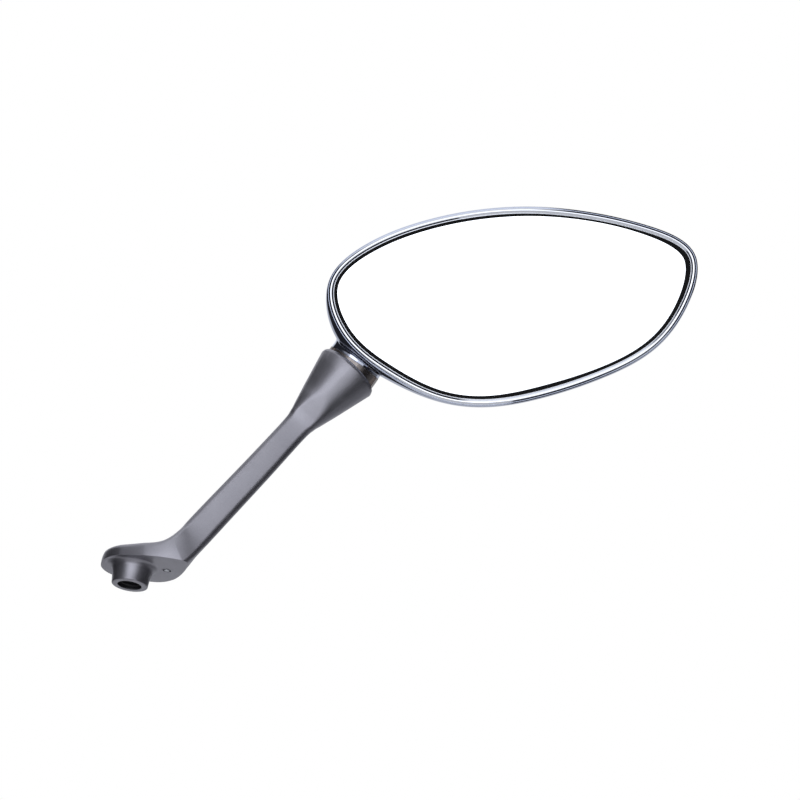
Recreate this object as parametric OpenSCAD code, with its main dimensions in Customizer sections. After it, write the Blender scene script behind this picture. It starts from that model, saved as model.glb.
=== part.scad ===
// Right-hand motorcycle mirror: cast arm, ball joint and chrome teardrop head.
// Millimetres, +Z up. The origin is the centre of the threaded boss's lower face.
// +X runs along the lug towards the bend, and the glass faces -Y.

/* [Part] */
// Which piece to draw, or all of them

/* [Mounting boss] */
// Height of the boss below the lug
boss_h = 8.5; // [6:0.5:14]
// Radius of the boss's lower rim
boss_r_low = 7.5; // [7:0.1:9]
// Radius of the boss where it meets the lug
boss_r_top = 8.2; // [7.5:0.1:11]
// Fillet radius between the boss and the lug
boss_fillet = 3; // [0.4:0.1:4]
// Radius of the threaded hole, at the roots of its M10 thread
thread_r = 5; // [3:0.5:6]
// Depth of the threaded hole
thread_depth = 12; // [8:0.5:13]

/* [Arm] */
// Thickness of the lug at its round end
lug_t = 4.8; // [3:0.1:8]
// Radius along the lug's upper edges
lug_edge = 2.4; // [1:0.1:3]
// Reach of the lug's round end behind the boss's axis
lug_end = 13.7; // [12:0.1:16]
// Rise of the lug's upper side over the boss
lug_rise = 0.8; // [0:0.1:2]
// Distance along the lug from the boss to the foot of the bar's axis
foot_x = 15; // [12:0.5:20]
// How far the bar's axis lies in front of the boss's axis
arm_y = -8.5; // [-10:0.5:0]
// Angle of the bar above the lug
arm_lean = 57.4; // [45:0.1:75]
// Length from the foot to the ball's centre, along the bar
arm_len = 112.8; // [90:0.1:140]
// Half width of the bar above the bend
bar_hw_low = 6.3; // [5:0.1:8]
// Half width of the bar below the cup
bar_hw_top = 5.7; // [4:0.1:7]
// Half depth of the bar
bar_hd = 5.4; // [4:0.1:8]
// Turn of the bar's flat front towards the rider
bar_twist = 15; // [0:1:25]
// Outer radius of the cup's mouth
cup_r = 13.85; // [12:0.05:16]
// Length of the cup's cone
cup_len = 29; // [20:0.5:40]

/* [Ball joint] */
// Radius of the steel ball
ball_r = 7; // [5:0.1:8]
// Wall of the nylon liner
liner_t = 1.7; // [1:0.1:2.5]
// Lean of the neck towards the rider, as photographed
tilt_in = 14; // [-16:1:16]
// Lean of the neck to the side, as photographed
tilt_side = -4; // [-16:1:16]
// Turn of the head about its neck, as photographed
swivel = 15; // [-60:1:60]
// Outer radius of the slotted ring
ring_r = 11.85; // [11:0.05:13]
// Height of the ring's upper face above the ball's centre
ring_top = 3; // [2:0.1:6]
// Number of spanner slots in the ring
ring_slots = 6; // [4:1:8]

/* [Head] */
// Turn of the face's long axis against the neck
face_turn = 41.4; // [20:0.1:70]
// Sideways place of the face's centre from the neck
face_x = 40; // [20:0.1:60]
// Height of the face's centre above the ball
face_z = 58.2; // [40:0.1:80]
// Distance from the neck's axis to the front of the rim
face_front = 16.5; // [15:0.1:20]
// Radius of curvature of the convex glass
glass_curve = 1400; // [1000:50:2000]
// Thickness of the glass
glass_t = 2; // [1.5:0.1:4]
// Depth of the housing's bowl behind the rim
bowl_depth = 23; // [15:0.5:40]
// Wall of the housing
wall = 2; // [1.5:0.1:3]

/* [Hidden] */
$fn = 96;
eps = 0.01;

// Directions of the bar: along it, and across it towards the inside of the bend
along = [cos(arm_lean), sin(arm_lean)];
across = [-sin(arm_lean), cos(arm_lean)];
lug_top = boss_h + lug_t;
foot = [foot_x, boss_h];
ball_pos = [foot_x + arm_len * along[0], arm_y, boss_h + arm_len * along[1]];

// Heights below are measured along the bar or the neck from the ball's centre
mouth_z = -1.2;
cup_low_z = mouth_z - cup_len;
cup_r_low = 6.4;
cup_hollow_r = 12.4;
cup_floor_z = -14;
stud_r = 4;
stud_neck_r = 3;
stud_len = 13;
stud_hex_r = 6.35;
stud_hex_t = 2.2;
stud_washer_t = 1.6;
stud_washer_r = 6.4;

liner_r = ball_r + liner_t;
play = 0.05;
seat_r = liner_r + play;
liner_open = 46;
ring_open = 51;
stack_r = 9.6;
spigot_r = 10.9;
spigot_top = 9.3;
ring_gap = 0.2;
lip_gap = 3.8;
pressure_z = 11.3;
spring_t = 0.8;
spring_pitch = 1.2;
thrust_t = 1.5;
stack_z = pressure_z + play;
stack_top = stack_z + 3 * spring_pitch + thrust_t;

pin_pos = [14, 0];
pin_r = 1.2;
pin_len = 3.5;

// Insets from the outline, and depths behind the rim's front
bezel_in = 0.9;
seal_in = 2.7;
glass_in = 3.6;
lip_in = 4.75;
plate_in = 6;
cavity_in = 5.6;
glass_y = -face_front + 1;
foam_t = 2;
film_t = 0.1;
plate_t = 2;
ledge_y = -face_front + 3.1;
plate_y = glass_y + glass_t + foam_t;
screw_at = [[-44, 14], [-22, -20], [34, 20], [34, -14]];
screw_r = 1.5;
post_r = 3.6;
post_end = [8, 8.5, 3, 5.5];
core_r = spigot_r + 0.35;
core_top = stack_top + 2.2;
room_y = -9;
room_depth = bowl_depth - 4.2;
bowl_apex = [-14, -3];

// The head's outline is a smooth closed curve through the pull of these points,
// with the face's centre as origin and its long axis along the first coordinate
face_pull = [[56.5, -25.5], [72.5, -9], [83.5, 17], [57.5, 29.5], [36.5, 36.5], [13, 41.5],
    [-11, 42.5], [-34.5, 40], [-57, 34], [-78.5, 20.5], [-75.5, -8], [-57.5, -22.5],
    [-36.5, -36], [-14, -41], [10.5, -38.5], [33, -33.5]];
// The rim and the glass keep away from the neck, so their outline is flatter there
rim_pull = [for (i = [0 : len(face_pull) - 1])
    face_pull[i] + (i == 9 ? [-0.7, 0.3] : i == 10 ? [2.5, 1.6] : i == 11 ? [0.9, 1.1] : [0, 0])];
face_steps = 6;

// Cubic blending weights, and their slopes, for a point at t between two knots
function weights(t) = [pow(1 - t, 3), 3 * pow(t, 3) - 6 * pow(t, 2) + 4,
    -3 * pow(t, 3) + 3 * pow(t, 2) + 3 * t + 1, pow(t, 3)] / 6;
function slopes(t) = [-pow(1 - t, 2), 3 * pow(t, 2) - 4 * t,
    -3 * pow(t, 2) + 2 * t + 1, pow(t, 2)] / 2;
function pull(to, w, i) = let (n = len(to))
    w[0] * to[i % n] + w[1] * to[(i + 1) % n] + w[2] * to[(i + 2) % n] + w[3] * to[(i + 3) % n];
function unit(v) = v / norm(v);

// An outline moved inwards by a distance
function outline(to, inset) = [
    for (i = [0 : len(to) - 1], k = [0 : face_steps - 1])
        let (t = k / face_steps, p = pull(to, weights(t), i), d = unit(pull(to, slopes(t), i)))
            p + inset * [-d[1], d[0]]
];

// How far a point of the face lies behind its centre, by the glass's curvature
function sag(p) = (p[0] * p[0] + p[1] * p[1]) / (2 * glass_curve);

// A ring of 3-D points: an outline inset, shrunk towards the bowl's apex, at depth y
function shell_ring(inset, shrink, y, crown = 1, to = face_pull) = [
    for (p = outline(to, inset))
        let (q = p * shrink + bowl_apex * (1 - shrink))
            [q[0], y + crown * sag(p), q[1]]
];
function rim_ring(inset, y) = shell_ring(inset, 1, y, 1, rim_pull);
function room_ring(inset, shrink, y, crown) = shell_ring(inset, shrink, y, crown, rim_pull);
function plate_ring(inset, share, y) = [
    for (p = outline(rim_pull, inset) * share) [p[0], y + sag(p), p[1]]
];

// A closed skin over rings of equal length
module skin(rings, closed_loop = false) {
    n = len(rings[0]);
    m = len(rings);
    last = closed_loop ? m - 1 : m - 2;
    sides = [for (j = [0 : last], i = [0 : n - 1])
        [j * n + i, j * n + (i + 1) % n, ((j + 1) % m) * n + (i + 1) % n, ((j + 1) % m) * n + i]];
    first_cap = [for (i = [n - 1 : -1 : 0]) i];
    last_cap = [for (i = [0 : n - 1]) (m - 1) * n + i];
    caps = closed_loop ? [] : [first_cap, last_cap];
    polyhedron(points = [for (r = rings) each r], faces = concat(sides, caps), convexity = 8);
}

// Places its children, drawn about the ball's centre, on each body of the joint
module on_bar() {
    translate(ball_pos) rotate([0, 90 - arm_lean, 0]) children();
}
module on_seat() {
    on_bar() rotate([tilt_in, 0, 0]) children();
}
module on_cup() {
    on_seat() rotate([0, tilt_side, 0]) children();
}
module on_head() {
    on_cup() rotate([0, 0, swivel]) children();
}
// Places its children in the face's own axes
module on_face() {
    on_head() translate([face_x, 0, face_z]) rotate([0, -face_turn, 0]) children();
}

// Sections of the arm, from the lug's round end to the cup. Each row has the section's
// end towards the inside of the bend, its other end, its front, its back, the twist, and
// the width and depth of its front and back corner curves.
function lug_row(x) = let (
        half = sqrt(1 - pow(x / lug_end, 2)), mid = 4.5 - 0.14 * (x + lug_end),
        front = mid - 15.6 * half, back = mid + 13.7 * half, e = min(lug_edge, (back - front) / 3))
    [x, lug_top + lug_rise * (1 + x / 9), x, boss_h - 3, front, back, 0, lug_edge, e, lug_edge, e];
function bar_row(l, hw_in, hw_out, hd, cw, cd, bw) =
    let (a = foot + l * along + hw_in * across, b = foot + l * along - hw_out * across)
    [a[0], a[1], b[0], b[1], arm_y - hd, arm_y + hd, bar_twist, cw, cd, bw, hd * 0.96];
cone_slope = (cup_r - cup_r_low) / cup_len;
cone_l = arm_len + cup_low_z;
in_cut = 0.4;
arm_rows = concat(
    [
        for (a = [85, 68, 50, 32, 15, 0]) lug_row(-lug_end * sin(a))
    ],
    [
        [4.8, lug_top + 1.3, 5.6, 4.4, -14.6, 16.2, 0, lug_edge, lug_edge, 2.2, 2.4],
        [8.5, 15.1, 10.6, 3.2, -15.3, 15.8, 1, lug_edge, 2.6, 2.4, 4],
        [12, 16.3, 16.4, 3.6, -15.5, 12.2, 3, 2.3, 2.6, 3, 7],
        [14.9, 18.8, 20.8, 6.2, -15.2, 4.8, 6, 2.1, 2.6, 4, 9],
        [17, 21.7, 23.9, 10.1, -14.7, 0, 10, 2, 2.6, 4.8, 7],
        [18.4, 23.9, 25.8, 13.4, -14.3, -2.2, 13, 2, 2.6, 5.4, 6]
    ],
    [
        bar_row(17, bar_hw_low - in_cut, bar_hw_low + 0.3, bar_hd, 1.9, 2.6, 5.8),
        bar_row(30, bar_hw_low - in_cut - 0.1, bar_hw_low + 0.15, bar_hd, 1.9, 2.6, 5.8),
        bar_row(55, bar_hw_top - in_cut / 2, bar_hw_low - 0.05, bar_hd, 1.8, 2.6, 5.6),
        bar_row(cone_l - 6, bar_hw_top - 0.15, bar_hw_top + 0.15, bar_hd, 1.8, 2.6, 5.4),
        bar_row(cone_l, 6.3, 6.3, 5.9, 2.4, 3.2, 5.9),
        bar_row(cone_l + 4, 7.3, 7.3, 7, 4, 4.8, 7),
        bar_row(cone_l + 8, 8.4, 8.4, 8.3, 6.2, 6.8, 8),
        bar_row(cone_l + 11.5, 9.2, 9.2, 9.2, 8.9, 8.9, 8.9)
    ]
);

// One row between rows i and i + 1, on a smooth curve through all of them
function row_at(i, t) = let (
        m = len(arm_rows) - 1,
        a = arm_rows[max(i - 1, 0)], b = arm_rows[i], c = arm_rows[min(i + 1, m)],
        d = arm_rows[min(i + 2, m)])
    b + 0.5 * t * (c - a + t * (2 * a - 5 * b + 4 * c - d + t * (3 * (b - c) + d - a)));

// The points of one section, as a box with curved corners, turned by its twist
corner_steps = 5;
function corner(cx, cy, rx, ry, from) = [
    for (k = [0 : corner_steps])
        let (a = from + 90 * k / corner_steps) [cx + rx * cos(a), cy + ry * sin(a)]
];
function section(row) = let (
        a = [row[0], row[1]], b = [row[2], row[3]],
        hw = norm(a - b) / 2, mid = (a + b) / 2, dir = (a - b) / (2 * hw),
        f = row[4], k = row[5], tw = row[6],
        flat = concat(
            corner(hw - row[9], k - row[10], row[9], row[10], 0),
            corner(-hw + row[9], k - row[10], row[9], row[10], 90),
            corner(-hw + row[7], f + row[8], row[7], row[8], 180),
            corner(hw - row[7], f + row[8], row[7], row[8], 270)))
    [
        for (p = flat)
            let (q = p[1] - arm_y, l = p[0] * cos(tw) + q * sin(tw),
                y = q * cos(tw) - p[0] * sin(tw))
                [mid[0] + l * dir[0], arm_y + y, mid[1] + l * dir[1]]
    ];

// How many sections to draw from row i on: most round the bend, fewest along the bar
function steps_from(i) = i < 6 ? 2 : i < 12 ? 3 : i < 14 || i == len(arm_rows) - 1 ? 1 : 2;

module arm_skin() {
    skin([
        for (i = [0 : len(arm_rows) - 1], k = [0 : steps_from(i) - 1])
            section(row_at(i, k / steps_from(i)))
    ]);
}

module boss_blank() {
    rotate_extrude()
        difference() {
            polygon([[0, 0], [boss_r_low - 0.5, 0], [boss_r_low - 0.15, 0.15], [boss_r_low, 0.5],
                [boss_r_low + 0.1, 2], [boss_r_top, boss_h - boss_fillet],
                [boss_r_top + boss_fillet, boss_h], [boss_r_top + boss_fillet, boss_h + 2],
                [0, boss_h + 2]]);
            translate([boss_r_top + boss_fillet + eps, boss_h - boss_fillet])
                circle(r = boss_fillet);
        }
}

// The cup's cone with its rounded lip
module cup_blank() {
    start = 10.5;
    on_bar()
        rotate_extrude()
            polygon([[0, cup_low_z + start], [cup_r_low + start * cone_slope, cup_low_z + start],
                [cup_r - 0.55, mouth_z - 2.2], [cup_r - 0.4, mouth_z - 1.5],
                [cup_r - 0.5, mouth_z - 0.9], [cup_r - 0.8, mouth_z - 0.35],
                [cup_r - 1.3, mouth_z], [0, mouth_z]]);
}

module arm() {
    color([0.36, 0.36, 0.38])
        difference() {
            union() {
                difference() {
                    arm_skin();
                    translate([-40, -40, boss_h - 20]) cube([90, 80, 20]);
                }
                boss_blank();
                cup_blank();
            }
            translate([0, 0, -eps]) cylinder(r = thread_r, h = thread_depth + eps);
            translate([pin_pos[0], pin_pos[1], boss_h - eps]) cylinder(r = 1.8, h = 0.5);
            translate([pin_pos[0], pin_pos[1], boss_h - eps]) cylinder(r = pin_r, h = pin_len + eps);
            on_bar() {
                sphere(r = cup_hollow_r);
                translate([0, 0, cup_floor_z]) cylinder(r = 7.4, h = 6);
                translate([0, 0, cup_floor_z - stud_len]) cylinder(r = stud_r, h = stud_len + 1);
            }
        }
}

module locating_pin() {
    color([0.7, 0.7, 0.72])
        translate([pin_pos[0], pin_pos[1], boss_h]) {
            cylinder(r = pin_r, h = pin_len);
            translate([0, 0, -0.15]) cylinder(r1 = pin_r - 0.25, r2 = pin_r, h = 0.15 + eps);
        }
}

module ball_stud() {
    color([0.6, 0.6, 0.62])
        on_bar() {
            sphere(r = ball_r);
            translate([0, 0, cup_floor_z + stud_washer_t]) cylinder(r = stud_neck_r, h = 10);
            translate([0, 0, cup_floor_z + stud_washer_t])
                cylinder(r = stud_hex_r, h = stud_hex_t, $fn = 6);
            translate([0, 0, cup_floor_z - stud_len + 1])
                cylinder(r = stud_r, h = stud_len + stud_washer_t);
        }
}

module stud_washer() {
    color([0.55, 0.55, 0.57])
        on_bar()
            translate([0, 0, cup_floor_z])
                difference() {
                    cylinder(r = stud_washer_r, h = stud_washer_t);
                    translate([0, 0, -1]) cylinder(r = stud_r + 0.1, h = stud_washer_t + 2);
                }
}

// A cone that opens downwards from the ball's centre
module low_cone(half_angle) {
    reach = 20;
    translate([0, 0, -reach])
        cylinder(r1 = reach * tan(half_angle), r2 = 0, h = reach);
}

module ball_seat() {
    color([0.85, 0.83, 0.76])
        on_seat()
            difference() {
                sphere(r = liner_r);
                sphere(r = ball_r + play);
                low_cone(liner_open);
                translate([0, 0, 7.6]) cylinder(r = 5, h = 3);
            }
}

module pressure_cup() {
    color([0.62, 0.62, 0.64])
        on_cup()
            difference() {
                translate([0, 0, 1.5]) cylinder(r = stack_r, h = pressure_z - 1.5);
                sphere(r = seat_r);
                translate([0, 0, pressure_z - 4]) cylinder(r = 3, h = 5);
            }
}

// A dished spring washer between two heights, dished up or down
module disc_spring(base, up) {
    lift = spring_pitch - spring_t;
    inner = up ? lift : 0;
    outer = up ? 0 : lift;
    color([0.5, 0.5, 0.52])
        on_head()
            translate([0, 0, base])
                rotate_extrude()
                    polygon([[4.2, inner], [stack_r - 0.2, outer],
                        [stack_r - 0.2, outer + spring_t], [4.2, inner + spring_t]]);
}
module disc_spring_1() {
    disc_spring(stack_z, true);
}
module disc_spring_2() {
    disc_spring(stack_z + spring_pitch, false);
}
module disc_spring_3() {
    disc_spring(stack_z + 2 * spring_pitch, true);
}

module thrust_washer() {
    color([0.66, 0.66, 0.68])
        on_head()
            translate([0, 0, stack_top - thrust_t])
                difference() {
                    cylinder(r = stack_r, h = thrust_t);
                    translate([0, 0, -1]) cylinder(r = 4.2, h = thrust_t + 2);
                }
}

module ring_nut() {
    slot_w = 3.4;
    color([0.58, 0.56, 0.53])
        on_head()
            difference() {
                union() {
                    intersection() {
                        sphere(r = ring_r + 0.01);
                        translate([0, 0, -6]) cylinder(r = ring_r + 1, h = 6.1);
                    }
                    cylinder(r = ring_r, h = ring_top);
                    cylinder(r = spigot_r, h = spigot_top - 0.3);
                }
                sphere(r = seat_r);
                low_cone(ring_open);
                translate([0, 0, 0.8]) cylinder(r = stack_r + 0.1, h = spigot_top);
                for (i = [0 : ring_slots - 1])
                    rotate([0, 0, 30 + i * 360 / ring_slots])
                        translate([spigot_r + 0.05, -slot_w / 2, -7])
                            cube([3, slot_w, 7 + ring_top + eps]);
            }
}

// A crowned plate of the outline between two depths, with both faces to the glass's curve
module crowned_plate(inset, y0, y1) {
    shares = [0.05, 0.4, 0.75, 1];
    skin(concat(
        [for (k = shares) plate_ring(inset, k, y0)],
        [for (i = [3 : -1 : 0]) plate_ring(inset, shares[i], y1)]));
}

// The housing's bowl as a solid, from its front edge to its back
module bowl() {
    front = -face_front + 0.9;
    side = [[0.75, front], [0.2, front + 1], [0, front + 2.6], [0.15, front + 5]];
    rings = concat(
        [for (s = side) shell_ring(s[0], 1, s[1])],
        [for (a = [14 : 12 : 86])
            shell_ring(0.15, pow(cos(a), 0.85), front + 5 + bowl_depth * pow(sin(a), 1.15), cos(a))]
    );
    skin(rings);
}

// The room inside the housing: the rebate for the rim, its ledge, and the hollow behind it
module bowl_room() {
    rings = concat(
        [room_ring(bezel_in - 0.05, 1, -30, 0), rim_ring(bezel_in - 0.05, ledge_y),
            rim_ring(cavity_in, ledge_y), room_ring(cavity_in, 1, room_y, 0.5)],
        [for (a = [12 : 15 : 84])
            room_ring(cavity_in, pow(cos(a), 0.85), room_y + room_depth * pow(sin(a), 1.15),
                0.5 * cos(a))]
    );
    skin(rings);
}

// The neck's fairing, as a body turned about the neck
module fairing(grow) {
    rotate_extrude()
        polygon([[0, ring_top], [ring_r - 0.1 + grow, ring_top], [ring_r - 0.2 + grow, 5.4],
            [12.1 + grow, 7], [12.8 + grow, 9], [13.4 + grow, 12], [13.9 + grow, 16],
            [14 + grow, 20],
            [13.4 + grow, 27], [11.6 + grow, 34], [8.6 + grow, 40], [4.6 + grow, 44],
            [2.2 + grow, 45.2], [0, 45.6 + grow]]);
}

module housing() {
    color([0.83, 0.84, 0.86])
        difference() {
            union() {
                difference() {
                    union() {
                        difference() {
                            on_face() bowl();
                            on_head() translate([0, 0, -5]) cylinder(r = cup_r + ring_gap, h = 5 + lip_gap);
                        }
                        on_head() fairing(0);
                    }
                    on_face() bowl_room();
                    on_head() intersection() {
                        fairing(-wall);
                        translate([0, 0, 12]) cylinder(r = 20, h = 60);
                    }
                }
                on_head() translate([0, 0, ring_top]) cylinder(r = core_r, h = core_top - ring_top);
                on_face()
                    for (i = [0 : 3])
                        translate([screw_at[i][0], post_end[i], screw_at[i][1]])
                            rotate([90, 0, 0])
                                cylinder(r = post_r, h = post_end[i] - plate_y - plate_t
                                    - sag(screw_at[i]) - film_t);
            }
            on_head() {
                translate([0, 0, -5]) cylinder(r = ring_r + ring_gap, h = 5 + ring_top);
                translate([0, 0, -1]) cylinder(r = spigot_r, h = spigot_top + 1);
                translate([0, 0, -1]) cylinder(r = stack_r + 0.15, h = stack_top + 1);
            }
            on_face()
                for (p = screw_at)
                    translate([p[0], plate_y + plate_t + sag(p) + 7.5, p[1]]) rotate([90, 0, 0])
                        cylinder(r = screw_r, h = 9);
        }
}

// The space that the plate and the pad leave round the neck's core
module core_clearance() {
    on_head() cylinder(r = core_r + 0.5, h = core_top + 0.5);
}

module backplate() {
    color([0.12, 0.12, 0.13])
        difference() {
            on_face() crowned_plate(plate_in, plate_y, plate_y + plate_t);
            core_clearance();
            on_face()
                for (p = screw_at)
                    translate([p[0], plate_y + sag(p), p[1]]) rotate([90, 0, 0]) {
                        translate([0, 0, -4]) cylinder(r = screw_r + 0.1, h = 6);
                        translate([0, 0, -1.6]) cylinder(r1 = screw_r + 0.1, r2 = 3.2, h = 1.7);
                    }
        }
}

module backplate_screw(p) {
    color([0.6, 0.6, 0.62])
        on_face()
            translate([p[0], plate_y + sag(p), p[1]])
                rotate([90, 0, 0])
                    difference() {
                        union() {
                            translate([0, 0, -9]) cylinder(r = screw_r, h = 8.9);
                            translate([0, 0, -1.6]) cylinder(r1 = screw_r, r2 = 2.9, h = 1.5);
                        }
                        for (a = [0, 90])
                            rotate([0, 0, a]) translate([-1.3, -0.3, -1]) cube([2.6, 0.6, 2]);
                    }
}
module backplate_screw_1() {
    backplate_screw(screw_at[0]);
}
module backplate_screw_2() {
    backplate_screw(screw_at[1]);
}
module backplate_screw_3() {
    backplate_screw(screw_at[2]);
}
module backplate_screw_4() {
    backplate_screw(screw_at[3]);
}

module foam_pad() {
    color([0.25, 0.25, 0.26])
        difference() {
            on_face() crowned_plate(plate_in + 1, glass_y + glass_t + film_t, plate_y - film_t);
            core_clearance();
        }
}

module glass() {
    color([0.93, 0.95, 0.97]) on_face() crowned_plate(glass_in, glass_y, glass_y + glass_t);
}

module glass_seal() {
    back = glass_y + glass_t - 0.05;
    color([0.06, 0.06, 0.07])
        on_face()
            skin([
                rim_ring(lip_in, glass_y - 0.05), rim_ring(seal_in + 0.35, glass_y - 0.3),
                rim_ring(seal_in, glass_y - 0.15), rim_ring(seal_in, back),
                rim_ring(glass_in, back), rim_ring(glass_in, glass_y - 0.02)
            ], true);
}

module bezel() {
    front = -face_front;
    inner = seal_in - 0.03;
    color([0.86, 0.87, 0.89])
        on_face()
            skin([
                rim_ring(bezel_in + 2.4, front + 0.55), rim_ring(bezel_in + 2, front + 0.2),
                rim_ring(bezel_in + 1.25, front), rim_ring(bezel_in + 0.65, front + 0.15),
                rim_ring(bezel_in + 0.2, front + 0.6), rim_ring(bezel_in, front + 1.4),
                rim_ring(bezel_in, ledge_y - 0.02), rim_ring(inner, ledge_y - 0.02),
                rim_ring(inner, front + 0.8), rim_ring(bezel_in + 2.25, front + 0.63)
            ], true);
}

arm();
locating_pin();
ball_stud();
stud_washer();
ball_seat();
pressure_cup();
disc_spring_1();
disc_spring_2();
disc_spring_3();
thrust_washer();
ring_nut();
housing();
backplate();
backplate_screw_1();
backplate_screw_2();
backplate_screw_3();
backplate_screw_4();
foam_pad();
glass();
glass_seal();
bezel();
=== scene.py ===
"""Looks of the right-hand motorcycle mirror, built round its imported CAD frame.

The cast arm, the chrome head, its rim, the glass and its gasket are remade as smooth
surfaces of the same sizes. The ball joint, the ring and the inner parts stay as the CAD
has them and get their finishes here. Sizes are in millimetres until a mesh is made.
"""

import logging
import math
from collections.abc import Sequence
from dataclasses import dataclass
from enum import Enum
from typing import NamedTuple

import bmesh
import bpy
from mathutils import Matrix, Vector
from mathutils.bvhtree import BVHTree


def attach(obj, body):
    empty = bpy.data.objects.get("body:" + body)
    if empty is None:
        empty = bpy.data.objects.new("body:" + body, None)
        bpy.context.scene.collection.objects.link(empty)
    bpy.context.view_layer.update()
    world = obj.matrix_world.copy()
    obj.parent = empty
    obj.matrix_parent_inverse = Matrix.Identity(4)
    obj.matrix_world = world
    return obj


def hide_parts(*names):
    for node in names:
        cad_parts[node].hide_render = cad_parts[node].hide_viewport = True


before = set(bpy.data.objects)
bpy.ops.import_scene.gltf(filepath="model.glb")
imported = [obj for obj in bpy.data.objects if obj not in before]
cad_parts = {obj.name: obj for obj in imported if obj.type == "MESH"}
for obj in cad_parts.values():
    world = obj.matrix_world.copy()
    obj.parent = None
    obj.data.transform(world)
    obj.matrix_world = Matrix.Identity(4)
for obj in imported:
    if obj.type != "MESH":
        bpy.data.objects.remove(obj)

LOG = logging.getLogger("mirror")
MM = 0.001
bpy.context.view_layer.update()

# Angle in degrees past which an edge stays sharp, unless a piece needs its own
CREASE = 35.0
# Distances in millimetres under which points are merged, in a new mesh and after a cut
WELD = 0.004
CUT_WELD = 0.003
# Steps in one turn of a round piece, for those that show and for those that are hidden
FINE_TURN = 128
PLAIN_TURN = 96

Ring = list[Vector]
Pair = tuple[float, float]
Socket = bpy.types.NodeSocket


class Body(Enum):
    """Bodies of the record that pieces ride on."""

    ARM = "mirror_arm"
    HEAD = "mirror_head"


class Join(Enum):
    """Ways to combine two closed meshes."""

    UNION = "UNION"
    DIFFERENCE = "DIFFERENCE"


# Mesh helpers

def turned(degrees: float, axis: str) -> Matrix:
    """A turn about one axis of the row frame."""
    return Matrix.Rotation(math.radians(degrees), 4, axis)


def loop(bm: bmesh.types.BMesh, points: Sequence[Vector]) -> list[bmesh.types.BMEdge]:
    """Starts a circle and draws it into the shape of a closed section.

    Args:
        bm: The mesh to add to.
        points: The section's points, in order.

    Returns:
        The section's edges.
    """
    made = bmesh.ops.create_circle(bm, cap_ends=False, segments=len(points), radius=1.0)
    for vert, point in zip(made["verts"], points):
        vert.co = point
    return list(dict.fromkeys(edge for vert in made["verts"] for edge in vert.link_edges))


def loft(bm: bmesh.types.BMesh, rings: Sequence[Ring], closed: bool = False) -> None:
    """Bridges sections in order, and caps the two ends unless the skin closes on itself.

    Args:
        bm: The mesh to add to.
        rings: Sections with the same number of points.
        closed: True for a skin that runs round to its first section.
    """
    loops = [loop(bm, ring) for ring in rings]
    for low, high in zip(loops, loops[1:]):
        bmesh.ops.bridge_loops(bm, edges=low + high)
    if closed:
        bmesh.ops.bridge_loops(bm, edges=loops[-1] + loops[0])
    else:
        for end in (loops[0], loops[-1]):
            bmesh.ops.contextual_create(bm, geom=end)


def turned_body(bm: bmesh.types.BMesh, profile: Sequence[tuple[float, float]], steps: int) -> None:
    """Spins an (r, z) profile once round Z.

    Args:
        bm: The mesh to add to.
        profile: Radius and height of each point.
        steps: Number of steps in the turn.
    """
    verts = [bm.verts.new((r, 0.0, z)) for r, z in profile]
    edges = [bm.edges.new(pair) for pair in zip(verts, verts[1:])]
    bmesh.ops.spin(bm, geom=verts + edges, cent=(0, 0, 0), axis=(0, 0, 1), angle=math.tau,
                   steps=steps, use_merge=True)


def arc(cx: float, cy: float, rx: float, ry: float, start: float, end: float,
        steps: int) -> list[tuple[float, float]]:
    """Points of an ellipse's arc, from one angle to another.

    Args:
        cx: First coordinate of the ellipse's centre.
        cy: Second coordinate of its centre.
        rx: Radius along the first coordinate.
        ry: Radius along the second.
        start: Angle in degrees at which the arc starts.
        end: Angle in degrees at which it ends.
        steps: Number of steps on the way.

    Returns:
        The points, one more than the steps.
    """
    angles = [math.radians(start + (end - start) * k / steps) for k in range(steps + 1)]
    return [(cx + rx * math.cos(a), cy + ry * math.sin(a)) for a in angles]


def mark_edges(bm: bmesh.types.BMesh, crease: float) -> None:
    """Makes every face smooth, and keeps the edges sharp where the faces turn by more than an angle.

    Args:
        bm: The mesh.
        crease: The angle in degrees.
    """
    limit = math.radians(crease)
    for face in bm.faces:
        face.smooth = True
    for edge in bm.edges:
        edge.smooth = not (edge.is_manifold and edge.calc_face_angle(0.0) > limit)


def finish_mesh(bm: bmesh.types.BMesh, name: str, crease: float = CREASE) -> bpy.types.Object:
    """Merges doubles, turns faces outwards, marks sharp edges and makes the object.

    Args:
        bm: The mesh in millimetres, in the row frame. It is freed.
        name: The piece's name.
        crease: Angle in degrees past which an edge stays sharp.

    Returns:
        The object, in metres, at the origin.
    """
    bmesh.ops.remove_doubles(bm, verts=bm.verts, dist=WELD)
    bmesh.ops.dissolve_degenerate(bm, dist=WELD / 4, edges=bm.edges)
    bmesh.ops.recalc_face_normals(bm, faces=bm.faces)
    mark_edges(bm, crease)
    bmesh.ops.scale(bm, vec=(MM, MM, MM), verts=bm.verts)
    mesh = bpy.data.meshes.new(name)
    bm.to_mesh(mesh)
    bm.free()
    made = bpy.data.objects.new(name, mesh)
    bpy.context.scene.collection.objects.link(made)
    return made


def combine(target: bpy.types.Object, tool: bpy.types.Object, join: Join) -> None:
    """Cuts or joins one closed mesh with another, and removes the second.

    Args:
        target: The mesh that is kept.
        tool: The mesh that cuts or joins it.
        join: Whether the second is added or taken away.
    """
    cut = target.modifiers.new("combine", "BOOLEAN")
    cut.operation, cut.object, cut.solver = join.value, tool, "EXACT"
    bpy.context.view_layer.update()
    graph = bpy.context.evaluated_depsgraph_get()
    mesh = bpy.data.meshes.new_from_object(target.evaluated_get(graph))
    target.modifiers.clear()
    old, target.data = target.data, mesh
    bpy.data.meshes.remove(old)
    bpy.data.objects.remove(tool)


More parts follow.
